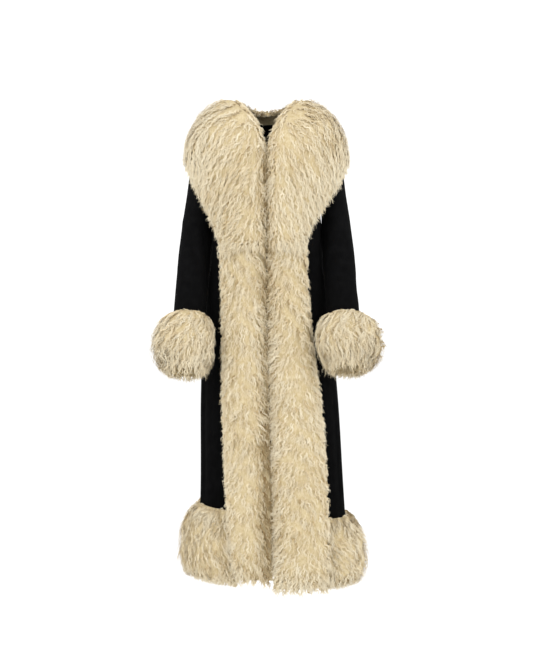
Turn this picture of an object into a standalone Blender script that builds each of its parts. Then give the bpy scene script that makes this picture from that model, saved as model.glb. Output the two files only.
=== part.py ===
"""A long coat of black cloth with a deep shawl collar, front bands, cuffs and a hem of long curly fur.

It keeps the hollow form that it has when worn. Metres, +Z up. The front faces -Y and the coat's own left
is +X. The origin is the middle of the neck, at the level of the collarbones, where the coat is carried
from inside.
"""

from collections import namedtuple
from math import pi, radians

import bpy
import numpy as np

# Cloth
CLOTH = 0.0022  # thickness of the wool
SEAM = 0.0006  # between the outer faces of two panels at a side seam
FRONT_EDGE = 0.0006  # from the middle to a front's edge, so the fronts meet without touching
HEM = -1.310  # lowest edge of the cloth
ROUNDNESS = 0.86  # exponent of the sections: 1 is an ellipse, and less is squarer

# Armhole, shoulder and neck, on the left
ARMPIT_X, ARMPIT_Z = 0.156, -0.250
SHOULDER_X, SHOULDER_Z = 0.182, -0.048
ARMHOLE_HALF_DEPTH = 0.062
SHOULDER_SLOPE = 0.38
SHOULDER_ROUND = 2.2  # how fully the chest and back keep their depth before they turn over the shoulder
NECK_HALF_WIDTH = 0.075
NECK_DEPTH = 0.060  # from the shoulder seam back to the nape
NECK_DROP = 0.012
NECK_CURVE = 3  # how late the back reaches in for the nape as it rises
BREAK_SHARE = 0.47  # share of the armhole's height where the fronts part into the neckline

# Fur
PELT_GAP = 0.0014  # between the skin side of the fur and the cloth that it is sewn to
PELT_EDGE = 0.0020  # thickness of the fur at its edges
FUR_CORNER = 2.3  # exponent of the fur's rounded section
HEM_FUR_TOP, HEM_FUR_BOTTOM, HEM_FUR = -1.172, -1.379, 0.064
HEM_FUR_END = 0.5  # share of its fur that the hem keeps where it meets the bands
HEM_END_LENGTH = 0.05  # share of the hem over which it thins out there
HEM_TILT_TOP, HEM_TILT_BOTTOM = 0.018, 0.008  # how much higher its edges sit on the right, lower on the left
HEM_SAG, CUFF_SAG = 1.2, 1.1  # above 1, the fur is fullest below the middle of its depth
CUFF_FUR_FROM, CUFF_LEFT_TO, CUFF_RIGHT_TO = 12.36, 14.85, 15.0  # in rings of the sleeve
CUFF_FUR_LEFT, CUFF_FUR_RIGHT = 0.064, 0.056
CUFF_PRESSED = 0.50  # share of the cuff's fur that the hip beside it flattens
PRESSED_TURN = 0.12  # where that is, in turns from the inner side towards the back
PRESSED_FROM, PRESSED_OVER = 0.05, 0.65  # how far round the cuff that reaches, in cosines of the angle
LEFT_LAPEL, LEFT_LAPEL_FROM = 0.17, 0.62  # how much narrower the left lapel hangs, and from which section
LAPEL_FORWARD = 5.2  # how far that pushes it forward, times the square of its distance from the middle
BAND_TOP = -0.3725
BAND_LEFT_BOTTOM, BAND_RIGHT_BOTTOM = -1.384, -1.360
TAIL_FROM, TAIL_THINNED = 0.91, 0.75  # where along its length a band starts to thin out, and how much
LOCK_RELIEF = 0.09  # how much the thickness varies from lock to lock
LOCK_TWIST, LOCK_DRIFT = 1.7, (5.1, 7.3)  # how the locks lean and how they come and go
COLLAR_LOCKS, BAND_LOCKS, HEM_LOCKS, CUFF_LOCKS = 16, 9, 14, 7

Section = namedtuple("Section", "z half_width front back")
BODY = (
    Section(-1.400, 0.2245, 0.168, 0.176),
    Section(-1.310, 0.2220, 0.163, 0.171),
    Section(-1.100, 0.2140, 0.149, 0.160),
    Section(-0.830, 0.2060, 0.134, 0.149),
    Section(-0.660, 0.1950, 0.124, 0.140),
    Section(-0.540, 0.1830, 0.117, 0.121),
    Section(-0.420, 0.1655, 0.1145, 0.104),
    Section(-0.330, 0.1622, 0.1195, 0.108),
    Section(ARMPIT_Z, ARMPIT_X, 0.128, 0.116),
)

# Soft folds of the skirt: where they lie round the body, in degrees from the centre front towards the
# left, how far they stand out, how wide they are in degrees, and the height where they fade
Fold = namedtuple("Fold", "turn depth spread top")
FOLDS = (
    Fold(74, 0.0050, 7, -0.62),
    Fold(96, -0.0060, 8, -0.70),
    Fold(121, 0.0085, 10, -0.62),
    Fold(143, -0.0060, 8, -0.80),
    Fold(163, 0.0100, 11, -0.58),
    Fold(-176, -0.0070, 8, -0.72),
    Fold(-157, 0.0090, 10, -0.66),
    Fold(-134, -0.0065, 9, -0.84),
    Fold(-112, 0.0080, 9, -0.60),
    Fold(-91, -0.0050, 6, -0.74),
    Fold(-78, 0.0060, 6, -0.56),
)

# Rings of the left sleeve, from the armhole to below the wrist. Each is an oval between an inner point
# on the body's side and an outer one, so the rings fan out round the armpit
Ring = namedtuple("Ring", "inner_x inner_z outer_x outer_z middle_y half_depth")
SLEEVE = (
    Ring(0.1566, -0.2500, 0.1826, -0.0480, 0.000, 0.0620),
    Ring(0.1582, -0.2510, 0.1980, -0.0550, 0.000, 0.0632),
    Ring(0.1594, -0.2518, 0.2110, -0.0760, 0.000, 0.0645),
    Ring(0.1608, -0.2530, 0.2205, -0.1100, 0.000, 0.0650),
    Ring(0.1622, -0.2550, 0.2275, -0.1520, 0.000, 0.0650),
    Ring(0.1634, -0.2590, 0.2335, -0.1970, 0.000, 0.0640),
    Ring(0.1638, -0.2680, 0.2400, -0.2440, -0.001, 0.0630),
    Ring(0.1642, -0.2980, 0.2480, -0.2950, -0.004, 0.0615),
    Ring(0.1648, -0.3500, 0.2552, -0.3490, -0.010, 0.0588),
    Ring(0.1672, -0.4080, 0.2622, -0.4060, -0.022, 0.0562),
    Ring(0.1705, -0.4660, 0.2665, -0.4620, -0.041, 0.0538),
    Ring(0.1745, -0.5220, 0.2700, -0.5160, -0.067, 0.0516),
    Ring(0.1790, -0.5780, 0.2732, -0.5700, -0.095, 0.0500),
    Ring(0.1830, -0.6340, 0.2758, -0.6250, -0.125, 0.0490),
    Ring(0.1862, -0.6900, 0.2780, -0.6800, -0.156, 0.0484),
    Ring(0.1885, -0.7440, 0.2795, -0.7330, -0.187, 0.0480),
)
SLEEVE_END = 14  # the ring at the wrist; the one after it only guides the fur that hangs past it

# Sections of the collar's left half, from the centre back to the lapel's lower end. Its skin side leaves
# the neckline at neck, bends round the shoulder at knee and ends at edge; the fur stands rise off it near
# the neck and spread off it near the edge
Collar = namedtuple("Collar", "along neck knee edge rise spread")
COLLAR = (
    Collar(0.00, (0.000, 0.064, 0.006), (0.000, 0.132, -0.028), (0.000, 0.150, -0.250), 0.068, 0.050),
    Collar(0.12, (0.044, 0.052, 0.010), (0.100, 0.122, -0.018), (0.104, 0.140, -0.240), 0.068, 0.047),
    Collar(0.25, (0.070, 0.028, 0.024), (0.166, 0.088, 0.000), (0.180, 0.106, -0.200), 0.062, 0.034),
    Collar(0.37, (0.075, 0.000, 0.031), (0.204, 0.014, 0.009), (0.232, 0.014, -0.140), 0.057, 0.020),
    Collar(0.49, (0.061, -0.042, 0.014), (0.188, -0.060, -0.006), (0.232, -0.068, -0.150), 0.061, 0.028),
    Collar(0.60, (0.030, -0.084, -0.028), (0.154, -0.124, -0.044), (0.218, -0.092, -0.182), 0.068, 0.034),
    Collar(0.71, (0.0045, -0.1175, -0.104), (0.108, -0.148, -0.128), (0.196, -0.094, -0.228), 0.064, 0.042),
    Collar(0.81, (0.0022, -0.1290, -0.186), (0.098, -0.144, -0.200), (0.172, -0.088, -0.276), 0.060, 0.048),
    Collar(0.91, (0.0022, -0.1250, -0.282), (0.088, -0.133, -0.286), (0.144, -0.086, -0.326), 0.058, 0.052),
    Collar(1.00, (0.0022, -0.1185, -0.372), (0.080, -0.1255, -0.372), (0.128, -0.085, -0.372), 0.056, 0.052),
)

# Front bands: how far the skin reaches from the middle on either side, and how thick the fur is
Band = namedtuple("Band", "z right_reach left_reach fur")
BANDS = (
    Band(-1.400, 0.106, 0.156, 0.070),
    Band(-1.180, 0.124, 0.150, 0.066),
    Band(-0.900, 0.131, 0.145, 0.060),
    Band(-0.650, 0.126, 0.124, 0.057),
    Band(-0.440, 0.125, 0.110, 0.055),
    Band(BAND_TOP, 0.127, 0.108, 0.055),
)

# The stance: the skirt hangs a little to the left, and its left front is set forward
SWAY_FROM, SWAY_TO, SWAY = -0.45, -1.30, 0.020
STRIDE, STRIDE_WIDTH, STRIDE_DEPTH = 0.026, 0.16, 0.30

SHARP = radians(50)  # edges sharper than this stay crisp in the shading
BLACK = (0.010, 0.010, 0.011, 1.0)
CREAM = (0.690, 0.590, 0.415, 1.0)
WOOL_ROUGHNESS, FUR_ROUGHNESS = 0.92, 0.75

# Rows and columns of each piece's grid
PANEL_ROWS = dict(skirt_rows=17, yoke_rows=8)
FRONT_COLUMNS, BACK_COLUMNS = 11, 31
SLEEVE_ROWS, SLEEVE_COLUMNS = 18, 18
COLLAR_ROWS, COLLAR_COLUMNS = 11, 45
BAND_ROWS, BAND_COLUMNS = 8, 27
HEM_ROWS, HEM_COLUMNS = 8, 67
CUFF_ROWS, CUFF_COLUMNS = 9, 24


def rise(value):
    """A smooth step from 0 to 1."""
    share = np.clip(value, 0.0, 1.0)
    return share * share * (3.0 - 2.0 * share)


def curve(knots, values, at):
    """A smooth curve through values at the knots, read at other places."""
    knots, values, at = (np.asarray(part, float) for part in (knots, values, at))
    slopes = np.gradient(values, knots, axis=0)
    low = np.clip(np.searchsorted(knots, at) - 1, 0, len(knots) - 2)
    step = knots[low + 1] - knots[low]
    share = (at - knots[low]) / step
    if values.ndim == 2:
        share, step = share[..., None], step[..., None]
    squared, cubed = share**2, share**3
    return (
        (2 * cubed - 3 * squared + 1) * values[low]
        + (cubed - 2 * squared + share) * step * slopes[low]
        + (3 * squared - 2 * cubed) * values[low + 1]
        + (cubed - squared) * step * slopes[low + 1]
    )


def unit(vectors):
    return vectors / np.linalg.norm(vectors, axis=-1, keepdims=True)


def signed_power(value, exponent):
    return np.sign(value) * np.abs(value) ** exponent


def stance(points):
    """Points of the skirt moved as the coat hangs."""
    x, y, z = np.moveaxis(points, -1, 0)
    lower = rise((SWAY_FROM - z) / (SWAY_FROM - SWAY_TO))
    ahead = rise(0.5 - y / STRIDE_DEPTH)
    left = rise(0.5 + x / (2 * STRIDE_WIDTH))
    return np.stack([x + SWAY * lower, y - STRIDE * lower * ahead * left, z], axis=-1)


def fold_height(turn, z):
    """How far the folds lift the cloth at this turn and height."""
    total = np.zeros(np.broadcast(turn, z).shape)
    for fold in FOLDS:
        apart = (turn - radians(fold.turn) + pi) % (2 * pi) - pi
        fade = rise((fold.top - z) / (fold.top - HEM))
        total = total + fold.depth * fade * np.exp(-((apart / radians(fold.spread)) ** 2))
    return total


def body_sizes(z):
    rows = np.array(BODY)
    return np.moveaxis(curve(rows[:, 0], rows[:, 1:], z), -1, 0)


def skirt(turn, z):
    """The cloth's outer face below the armholes. turn is 0 at the centre front, pi at the centre back and
    negative on the right."""
    turn, z = np.broadcast_arrays(np.asarray(turn, float), np.asarray(z, float))
    half_width, front, back = body_sizes(z)
    ahead = signed_power(np.cos(turn), ROUNDNESS)
    depth = np.where(ahead > 0, front, back)
    x = half_width * signed_power(np.sin(turn), ROUNDNESS)
    y = -depth * ahead
    away = unit(np.stack([x / half_width**2, y / depth**2], axis=-1)) * fold_height(turn, z)[..., None]
    return stance(np.stack([x + away[..., 0], y + away[..., 1], z], axis=-1))


def turn_at(x, z):
    """The turn at which the front or the back of the body is this far from the middle."""
    half_width = body_sizes(z)[0]
    return np.arcsin(np.clip(np.abs(x) / half_width, 0, 1) ** (1 / ROUNDNESS))


def yoke(turn, level, is_front):
    """The cloth's outer face from the armpit, at level 0, to the shoulder seam, at level 1, on the
    left. turn is 0 in the middle and pi/2 at the armhole."""
    share = (1 - np.cos(pi * level)) / 2
    arm_x = ARMPIT_X + (SHOULDER_X - ARMPIT_X) * share
    arm_y = ARMHOLE_HALF_DEPTH * np.sin(pi * level)
    chest = body_sizes(ARMPIT_Z)[1 if is_front else 2]
    depth = chest * (1 - share**SHOULDER_ROUND) ** (1 / SHOULDER_ROUND)
    x = arm_x * np.abs(np.sin(turn)) ** ROUNDNESS
    y = arm_y + (depth - arm_y) * np.abs(np.cos(turn)) ** ROUNDNESS
    top = SHOULDER_Z + SHOULDER_SLOPE * (arm_x - x)
    if not is_front:
        nape = np.clip(1 - (x / NECK_HALF_WIDTH) ** 2, 0, 1)
        y = y + NECK_DEPTH * np.sqrt(nape) * share**NECK_CURVE
        neck_top = SHOULDER_Z + SHOULDER_SLOPE * (arm_x - NECK_HALF_WIDTH)
        top = np.where(x < NECK_HALF_WIDTH, neck_top - NECK_DROP * nape, top)
    z = ARMPIT_Z + (top - ARMPIT_Z) * share
    return np.stack([x, -y if is_front else y, z], axis=-1)


def front_panel(columns, skirt_rows, yoke_rows, is_left):
    """The outer and inner faces of a front, from its edge to the side seam and armhole."""
    across = np.linspace(0, 1, columns)[None, :]
    z = np.linspace(HEM, ARMPIT_Z, skirt_rows)[:, None]
    start = turn_at(FRONT_EDGE, z)
    turn = start + (pi / 2 - start) * across
    lower = skirt(turn if is_left else -turn, z)
    level = np.linspace(0, 1, yoke_rows + 1)[1:, None]
    share = (1 - np.cos(pi * level)) / 2
    arm_x = ARMPIT_X + (SHOULDER_X - ARMPIT_X) * share
    parted = np.clip((share - BREAK_SHARE) / (1 - BREAK_SHARE), 0, 1)
    edge = FRONT_EDGE + (NECK_HALF_WIDTH - FRONT_EDGE) * parted
    start = np.arcsin((edge / arm_x) ** (1 / ROUNDNESS))
    upper = yoke(start + (pi / 2 - start) * across, level, is_front=True)
    upper[..., 0] *= 1 if is_left else -1
    outer = np.concatenate([lower, upper])
    outer[:, -1, 1] -= SEAM / 2
    outer[-1, :, 1] -= SEAM / 2
    outer = outer if is_left else outer[:, ::-1]
    side = -1 if is_left else 0
    return outer, lined_up(outer, seams=[(slice(None), side), (-1, slice(None))])


def back_panel(columns, skirt_rows, yoke_rows):
    """The outer and inner faces of the back, from its left side seam to the right one."""
    turn = np.linspace(pi / 2, 3 * pi / 2, columns)[None, :]
    lower = skirt(turn, np.linspace(HEM, ARMPIT_Z, skirt_rows)[:, None])
    from_middle = np.linspace(pi / 2, -pi / 2, columns)[None, :]
    level = np.linspace(0, 1, yoke_rows + 1)[1:, None]
    upper = yoke(np.abs(from_middle), level, is_front=False)
    upper[..., 0] *= np.sign(from_middle)
    outer = np.concatenate([lower, upper])
    outer[:, [0, -1], 1] += SEAM / 2
    outer[-1, :, 1] += SEAM / 2
    return outer, lined_up(outer, seams=[(slice(None), [0, -1]), (-1, slice(None))])


def sleeve(along, round_it):
    """The outer face of the left sleeve. along counts rings from the armhole, and round_it
    goes once round from the inner side, by the back."""
    along, round_it = np.broadcast_arrays(np.asarray(along, float), np.asarray(round_it, float))
    rings = np.array(SLEEVE)
    index = np.arange(len(rings))
    inner = np.stack([rings[:, 0], rings[:, 4], rings[:, 1]], axis=-1)
    outer = np.stack([rings[:, 2], rings[:, 4], rings[:, 3]], axis=-1)
    middle, across = (inner + outer) / 2, (inner - outer) / 2
    axis = unit(np.gradient(middle, axis=0))
    forward = unit(np.cross(axis, unit(across))) * rings[:, 5:]
    columns = curve(index, np.hstack([middle, across, forward]), along)
    angle = 2 * pi * round_it[..., None]
    return columns[..., :3] + columns[..., 3:6] * np.cos(angle) + columns[..., 6:] * np.sin(angle)


def even_dome(share):
    """Height of a rounded section over its width, from 0 at an edge to 1 in the middle."""
    return (1 - np.abs(2 * share - 1) ** FUR_CORNER) ** (1 / FUR_CORNER)


def locks(along, across):
    """The largest locks of the fur, as a share of its thickness."""
    lean = LOCK_TWIST * np.sin(2 * pi * across)
    strength = np.cos(LOCK_DRIFT[0] * along - LOCK_DRIFT[1] * across)
    return 1 + LOCK_RELIEF * np.sin(2 * pi * along + lean) * strength


def hem_turn(along, z):
    """The turn at a share of the way from the right band round the back to the left one."""
    half_width = body_sizes(z)[0]
    right, left = (curve(np.array(BANDS)[:, 0], np.array(BANDS)[:, side], z) for side in (1, 2))
    start = -np.arcsin(((right + SEAM) / half_width) ** (1 / ROUNDNESS))
    end = -2 * pi + np.arcsin(((left + SEAM) / half_width) ** (1 / ROUNDNESS))
    return start + (end - start) * along


def hem_fur(along, across):
    """Skin side and thickness of the hem's fur, from the right band round the back to the left one."""
    level = HEM_FUR_TOP + (HEM_FUR_BOTTOM - HEM_FUR_TOP) * across
    tilt = HEM_TILT_TOP + (HEM_TILT_BOTTOM - HEM_TILT_TOP) * across
    z = level - tilt * np.sin(hem_turn(along, level))
    from_end = np.minimum(along, 1 - along)
    ends = HEM_FUR_END + (1 - HEM_FUR_END) * rise(from_end / HEM_END_LENGTH)
    fur = HEM_FUR * ends * even_dome(across**HEM_SAG) * locks(HEM_LOCKS * along, across)
    return skirt(hem_turn(along, z), z), fur


def band_fur(along, across, is_left):
    """Skin side and thickness of a front band, from the collar down to the hem."""
    z = BAND_TOP + ((BAND_LEFT_BOTTOM if is_left else BAND_RIGHT_BOTTOM) - BAND_TOP) * along
    rows = np.array(BANDS)
    reach, fur = curve(rows[:, 0], rows[:, 2 if is_left else 1], z), curve(rows[:, 0], rows[:, 3], z)
    start, end = turn_at(FRONT_EDGE + PELT_GAP, z), turn_at(reach, z)
    turn = start + (end - start) * across
    tail = np.clip((along - TAIL_FROM) / (1 - TAIL_FROM), 0, 1)
    fur = fur * even_dome(across) * (1 - TAIL_THINNED * tail**2) * locks(BAND_LOCKS * along, across)
    return skirt(turn if is_left else -turn, z), fur


def cuff_fur(along, across, depth, last_ring):
    """Skin side and thickness of a cuff on the left sleeve, all round and down past the wrist."""
    ring = CUFF_FUR_FROM + (last_ring - CUFF_FUR_FROM) * across
    to_hip = np.cos(2 * pi * (along - PRESSED_TURN))
    pressed = CUFF_PRESSED * rise((to_hip - PRESSED_FROM) / PRESSED_OVER)
    fur = depth * even_dome(across**CUFF_SAG) * (1 - pressed) * locks(CUFF_LOCKS * along, across)
    return sleeve(ring, along), fur


def collar_fur(along, across):
    """Skin side and thickness of the collar, from the right lapel's end round the neck."""
    side = np.sign(along - 0.5)
    station = np.abs(2 * along - 1)
    knots, *columns = zip(*COLLAR)
    neck, knee, edge, height, spread = (curve(knots, column, station) for column in columns)
    share = across[..., None]
    base = (1 - share) ** 2 * neck + 2 * share * (1 - share) * knee + share**2 * edge
    drawn_in = LEFT_LAPEL * rise((station - LEFT_LAPEL_FROM) / (1 - LEFT_LAPEL_FROM)) * (side > 0)
    base[..., 1] -= LAPEL_FORWARD * drawn_in * base[..., 0] ** 2
    base[..., 0] *= (1 - drawn_in) * np.where(side == 0, 1, side)
    full = height + (spread - height) * across
    return base, full * even_dome(across) * locks(COLLAR_LOCKS * along, across)


def outward(grid, wraps=False):
    """The direction off each point of a grid whose columns and rows turn right-handed about it."""
    ring = np.concatenate([grid[:, -1:], grid, grid[:, :1]], axis=1) if wraps else grid
    away = np.cross(np.gradient(ring, axis=1), np.gradient(ring, axis=0))
    return unit(away[:, 1:-1] if wraps else away)


def lined_up(outer, seams):
    """The inner face of a panel. At its seams the wall stands straight in from the edge, in the plane
    that it shares with the panel sewn to it."""
    away = outward(outer)
    for place in seams:
        away[place + (1,)] = 0.0
    return outer - unit(away) * CLOTH


def material(name, colour, roughness):
    made = bpy.data.materials.new(name)
    made.use_nodes = True
    shader = made.node_tree.nodes["Principled BSDF"]
    shader.inputs["Base Color"].default_value = colour
    shader.inputs["Roughness"].default_value = roughness
    shader.inputs["Metallic"].default_value = 0.0
    return made


def quads(rows, columns, wraps):
    """Faces of a grid, closed into a tube if it wraps."""
    last = columns if wraps else columns - 1
    return [
        (row * columns + column, row * columns + (column + 1) % columns,
         (row + 1) * columns + (column + 1) % columns, (row + 1) * columns + column)
        for row in range(rows - 1)
        for column in range(last)
    ]


def mirrored(grid):
    """The same grid on the other side, with its columns turned round so that it still faces out."""
    return grid[:, ::-1] * np.array([-1.0, 1.0, 1.0])


def add_wall(name, outer, inner, finish, collection, wraps=False):
    """A closed solid between an outer and an inner face with the same grid, joined round their edges."""
    rows, columns = outer.shape[:2]
    under = rows * columns
    faces = quads(rows, columns, wraps)
    edges = {(face[side - 1], face[side]) for face in faces for side in range(4)}
    rims = [(b, a, a + under, b + under) for a, b in sorted(edges) if (b, a) not in edges]
    lining = [tuple(corner + under for corner in reversed(face)) for face in faces]
    points = np.concatenate([outer.reshape(-1, 3), inner.reshape(-1, 3)])
    mesh = bpy.data.meshes.new(name)
    mesh.from_pydata(points.tolist(), [], faces + rims + lining)
    mesh.materials.append(finish)
    mesh.shade_smooth()
    mesh.set_sharp_from_angle(angle=SHARP)
    collection.objects.link(bpy.data.objects.new(name, mesh))


def fur_faces(base, hair, wraps=False, level_ends=()):
    """The outer and inner faces of a fur piece over its skin side. Its ends named here stay level."""
    away = outward(base, wraps)
    for end in level_ends:
        away[:, end, 2] = 0.0
    away = unit(away)
    skin = base + away * PELT_GAP
    return skin + away * (PELT_EDGE + hair)[..., None], skin


def spaced(count):
    """Shares across a section, closer together at its rounded edges."""
    return ((1 - np.cos(np.linspace(0, pi, count))) / 2)[:, None]


def shares(count, wraps=False):
    """Even shares along a piece."""
    return np.linspace(0, 1, count, endpoint=not wraps)[None, :]


def clear_scene():
    for old in list(bpy.data.objects):
        bpy.data.objects.remove(old, do_unlink=True)


def build():
    clear_scene()
    coat = bpy.data.collections.new("long_coat")
    bpy.context.scene.collection.children.link(coat)
    wool = material("black_wool", BLACK, WOOL_ROUGHNESS)
    fur = material("cream_fur", CREAM, FUR_ROUGHNESS)

    for name, is_left in (("front_left", True), ("front_right", False)):
        add_wall(name, *front_panel(FRONT_COLUMNS, **PANEL_ROWS, is_left=is_left), wool, coat)
    add_wall("back", *back_panel(BACK_COLUMNS, **PANEL_ROWS), wool, coat)

    arm = sleeve(SLEEVE_END * shares(SLEEVE_ROWS).T, shares(SLEEVE_COLUMNS, wraps=True))
    arm = (arm, arm - outward(arm, wraps=True) * CLOTH)
    add_wall("sleeve_left", *arm, wool, coat, wraps=True)
    add_wall("sleeve_right", *(mirrored(face) for face in arm), wool, coat, wraps=True)

    collar = collar_fur(*np.broadcast_arrays(shares(COLLAR_COLUMNS), spaced(COLLAR_ROWS)))
    add_wall("fur_collar", *fur_faces(*collar, level_ends=(0, -1)), fur, coat)
    band = np.broadcast_arrays(shares(BAND_COLUMNS), spaced(BAND_ROWS))
    add_wall("fur_front_left", *fur_faces(*band_fur(*band, is_left=True), level_ends=(0,)), fur, coat)
    base, hair = band_fur(*band, is_left=False)
    add_wall("fur_front_right", *fur_faces(base[::-1], hair[::-1], level_ends=(0,)), fur, coat)
    hem = hem_fur(*np.broadcast_arrays(shares(HEM_COLUMNS), spaced(HEM_ROWS)))
    add_wall("fur_hem", *fur_faces(*hem), fur, coat)

    around = np.broadcast_arrays(shares(CUFF_COLUMNS, wraps=True), spaced(CUFF_ROWS))
    cuff = fur_faces(*cuff_fur(*around, CUFF_FUR_LEFT, CUFF_LEFT_TO), wraps=True)
    add_wall("fur_cuff_left", *cuff, fur, coat, wraps=True)
    cuff = fur_faces(*cuff_fur(*around, CUFF_FUR_RIGHT, CUFF_RIGHT_TO), wraps=True)
    add_wall("fur_cuff_right", *(mirrored(face) for face in cuff), fur, coat, wraps=True)


build()
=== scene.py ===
from collections import namedtuple
from math import pi, radians

import bpy
import numpy as np
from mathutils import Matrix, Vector


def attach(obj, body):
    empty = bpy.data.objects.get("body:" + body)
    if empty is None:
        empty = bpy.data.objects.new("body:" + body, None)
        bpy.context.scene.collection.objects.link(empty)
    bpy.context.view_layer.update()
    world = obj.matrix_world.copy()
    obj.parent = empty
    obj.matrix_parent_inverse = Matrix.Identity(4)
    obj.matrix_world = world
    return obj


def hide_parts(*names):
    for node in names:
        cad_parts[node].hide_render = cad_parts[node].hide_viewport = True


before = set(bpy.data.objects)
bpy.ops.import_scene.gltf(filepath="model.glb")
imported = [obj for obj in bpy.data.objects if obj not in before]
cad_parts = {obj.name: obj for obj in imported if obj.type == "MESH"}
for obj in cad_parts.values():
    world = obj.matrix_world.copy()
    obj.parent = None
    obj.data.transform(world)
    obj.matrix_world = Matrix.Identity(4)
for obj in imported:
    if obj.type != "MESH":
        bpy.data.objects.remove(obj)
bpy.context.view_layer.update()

# Cut of the coat, as in the frame
CLOTH = 0.0020
SEAM = 0.0006
FRONT_EDGE = 0.0006
HEM = -1.310
ROUNDNESS = 0.86
ARMPIT_X, ARMPIT_Z = 0.156, -0.250
SHOULDER_X, SHOULDER_Z = 0.182, -0.048
ARMHOLE_HALF_DEPTH = 0.062
SHOULDER_SLOPE, SHOULDER_ROUND = 0.38, 2.2
NECK_HALF_WIDTH, NECK_DEPTH, NECK_DROP, NECK_CURVE = 0.075, 0.060, 0.012, 3
BREAK_SHARE = 0.47
SWAY_FROM, SWAY_TO, SWAY = -0.45, -1.30, 0.020
STRIDE, STRIDE_WIDTH, STRIDE_DEPTH = 0.026, 0.16, 0.30

PELT_GAP, PELT_EDGE = 0.0014, 0.0020
FUR_CORNER = 2.3
HEM_FUR_TOP, HEM_FUR_BOTTOM, HEM_FUR = -1.172, -1.379, 0.064
HEM_FUR_END, HEM_END_LENGTH = 0.5, 0.05
HEM_TILT_TOP, HEM_TILT_BOTTOM = 0.018, 0.008
HEM_SAG, CUFF_SAG = 1.2, 1.1
CUFF_FUR_FROM, CUFF_LEFT_TO, CUFF_RIGHT_TO = 12.36, 14.85, 15.0
CUFF_FUR_LEFT, CUFF_FUR_RIGHT = 0.064, 0.056
CUFF_PRESSED, PRESSED_TURN, PRESSED_FROM, PRESSED_OVER = 0.50, 0.12, 0.05, 0.65
LEFT_LAPEL, LEFT_LAPEL_FROM, LAPEL_FORWARD = 0.17, 0.62, 5.2
BAND_TOP, BAND_LEFT_BOTTOM, BAND_RIGHT_BOTTOM = -0.3725, -1.384, -1.360
TAIL_FROM, TAIL_THINNED = 0.91, 0.75
LOCK_RELIEF = 0.09
LOCK_TWIST, LOCK_DRIFT = 1.7, (5.1, 7.3)
COLLAR_LOCKS, BAND_LOCKS, HEM_LOCKS, CUFF_LOCKS = 16, 9, 14, 7

Section = namedtuple("Section", "z half_width front back")
BODY = (
    Section(-1.400, 0.2245, 0.168, 0.176),
    Section(-1.310, 0.2220, 0.163, 0.171),
    Section(-1.100, 0.2140, 0.149, 0.160),
    Section(-0.830, 0.2060, 0.134, 0.149),
    Section(-0.660, 0.1950, 0.124, 0.140),
    Section(-0.540, 0.1830, 0.117, 0.121),
    Section(-0.420, 0.1655, 0.1145, 0.104),
    Section(-0.330, 0.1622, 0.1195, 0.108),
    Section(ARMPIT_Z, ARMPIT_X, 0.128, 0.116),
)

Fold = namedtuple("Fold", "turn depth spread top")
FOLDS = (
    Fold(74, 0.0050, 7, -0.62),
    Fold(96, -0.0060, 8, -0.70),
    Fold(121, 0.0085, 10, -0.62),
    Fold(143, -0.0060, 8, -0.80),
    Fold(163, 0.0100, 11, -0.58),
    Fold(-176, -0.0070, 8, -0.72),
    Fold(-157, 0.0090, 10, -0.66),
    Fold(-134, -0.0065, 9, -0.84),
    Fold(-112, 0.0080, 9, -0.60),
    Fold(-91, -0.0050, 6, -0.74),
    Fold(-78, 0.0060, 6, -0.56),
)

Ring = namedtuple("Ring", "inner_x inner_z outer_x outer_z middle_y half_depth")
SLEEVE = (
    Ring(0.1566, -0.2500, 0.1826, -0.0480, 0.000, 0.0620),
    Ring(0.1582, -0.2510, 0.1980, -0.0550, 0.000, 0.0632),
    Ring(0.1594, -0.2518, 0.2110, -0.0760, 0.000, 0.0645),
    Ring(0.1608, -0.2530, 0.2205, -0.1100, 0.000, 0.0650),
    Ring(0.1622, -0.2550, 0.2275, -0.1520, 0.000, 0.0650),
    Ring(0.1634, -0.2590, 0.2335, -0.1970, 0.000, 0.0640),
    Ring(0.1638, -0.2680, 0.2400, -0.2440, -0.001, 0.0630),
    Ring(0.1642, -0.2980, 0.2480, -0.2950, -0.004, 0.0615),
    Ring(0.1648, -0.3500, 0.2552, -0.3490, -0.010, 0.0588),
    Ring(0.1672, -0.4080, 0.2622, -0.4060, -0.022, 0.0562),
    Ring(0.1705, -0.4660, 0.2665, -0.4620, -0.041, 0.0538),
    Ring(0.1745, -0.5220, 0.2700, -0.5160, -0.067, 0.0516),
    Ring(0.1790, -0.5780, 0.2732, -0.5700, -0.095, 0.0500),
    Ring(0.1830, -0.6340, 0.2758, -0.6250, -0.125, 0.0490),
    Ring(0.1862, -0.6900, 0.2780, -0.6800, -0.156, 0.0484),
    Ring(0.1885, -0.7440, 0.2795, -0.7330, -0.187, 0.0480),
)
SLEEVE_END = 14

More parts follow.
